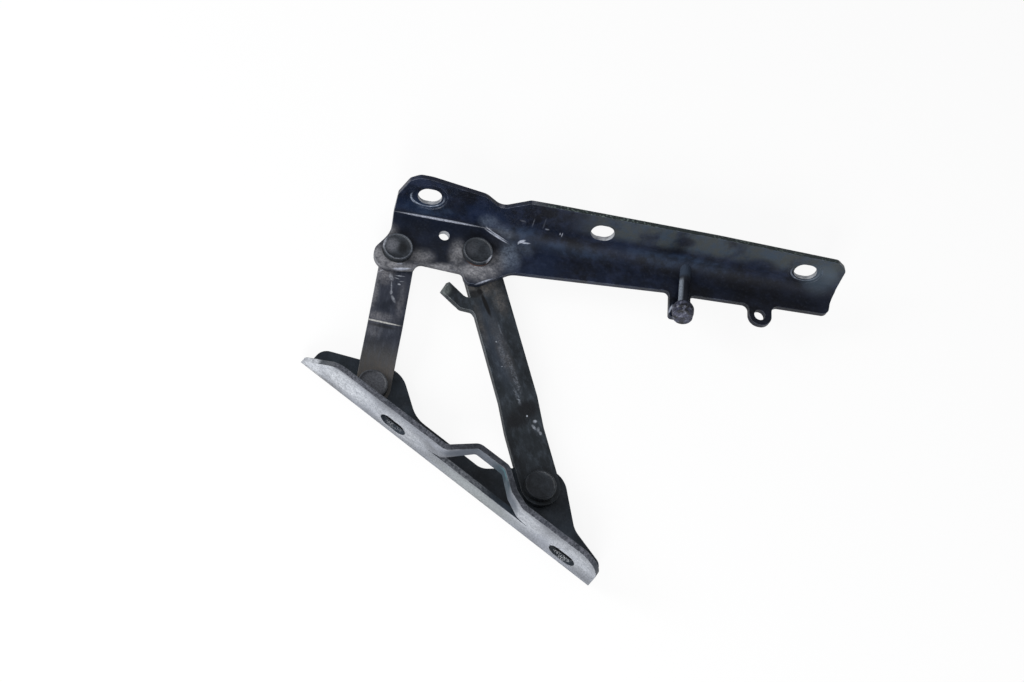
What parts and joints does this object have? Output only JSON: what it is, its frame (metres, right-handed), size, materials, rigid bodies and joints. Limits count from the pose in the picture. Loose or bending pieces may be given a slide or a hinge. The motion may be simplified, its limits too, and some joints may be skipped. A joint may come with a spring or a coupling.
{
  "type": "bonnet hinge",
  "caption": "Four-bar bonnet hinge in pressed steel sheet: body bracket, bonnet bracket and two riveted links, with a stop stud that lands on a strap.",
  "frame": {"origin": "midway between the two slots of the body bracket, on the face that bolts to the car", "axes": "+Z along the four rivets towards their heads, +X along the body bracket's flange, +Y from the mounting face through the flange towards the links"},
  "size_m": [0.2604, 0.2749, 0.0499],
  "materials": {
    "body_sheet": "thin dark paint, worn and dusty on the mounting face",
    "bonnet_sheet": "blue-black paint with dusty grey patches and scuffed bends",
    "short_link_sheet": "worn grey-black paint with dust and scratches",
    "long_link_sheet": "dark grey-green paint, lightly scuffed",
    "rivet_steel": "steel rivet painted over with the sheet",
    "washer_steel": "steel washer, painted over, a little rust at the edge",
    "bush_bronze": "sintered bronze, dull",
    "stud_steel": "painted steel pin with a satin highlight",
    "cap_polymer": "dark moulded cap, mottled and dusty"
  },
  "bodies": {
    "body": {"body_bracket": "body_sheet", "short_link_body_rivet": "rivet_steel", "long_link_body_rivet": "rivet_steel", "short_link_body_washer": "washer_steel", "long_link_body_washer": "washer_steel"},
    "long_link": {"long_link": "long_link_sheet", "long_link_body_bush": "bush_bronze", "long_link_bonnet_rivet": "rivet_steel", "long_link_bonnet_washer": "washer_steel"},
    "bonnet": {"bonnet_bracket": "bonnet_sheet", "long_link_bonnet_bush": "bush_bronze", "stop_stud": "stud_steel", "stud_cap": "cap_polymer"},
    "short_link": {"short_link": "short_link_sheet", "short_link_body_bush": "bush_bronze", "short_link_bonnet_rivet": "rivet_steel", "short_link_bonnet_washer": "washer_steel", "short_link_bonnet_sleeve": "bush_bronze"}
  },
  "joints": [
    {"name": "long_link_swing", "type": "hinge", "parent": "body", "child": "long_link", "pos_m": [0.0277, 0.0297, 0], "axis": [0, 0, 1], "range_deg": [-6, 31.5]},
    {"name": "bonnet_swing", "type": "hinge", "parent": "long_link", "child": "bonnet", "pos_m": [-0.09416, 0.12838, 0], "axis": [0, 0, 1], "range_deg": [-63.7, 12.22]},
    {"name": "short_link_swing", "type": "hinge", "parent": "body", "child": "short_link", "pos_m": [-0.0886, 0.0149, 0], "axis": [0, 0, 1], "range_deg": [-8.72, 45.34]}
  ],
  "couplings": [
    {"joint": "bonnet_swing", "follows": "long_link_swing", "ratio": -2.0192},
    {"joint": "short_link_swing", "follows": "long_link_swing", "ratio": 1.4361}
  ]
}
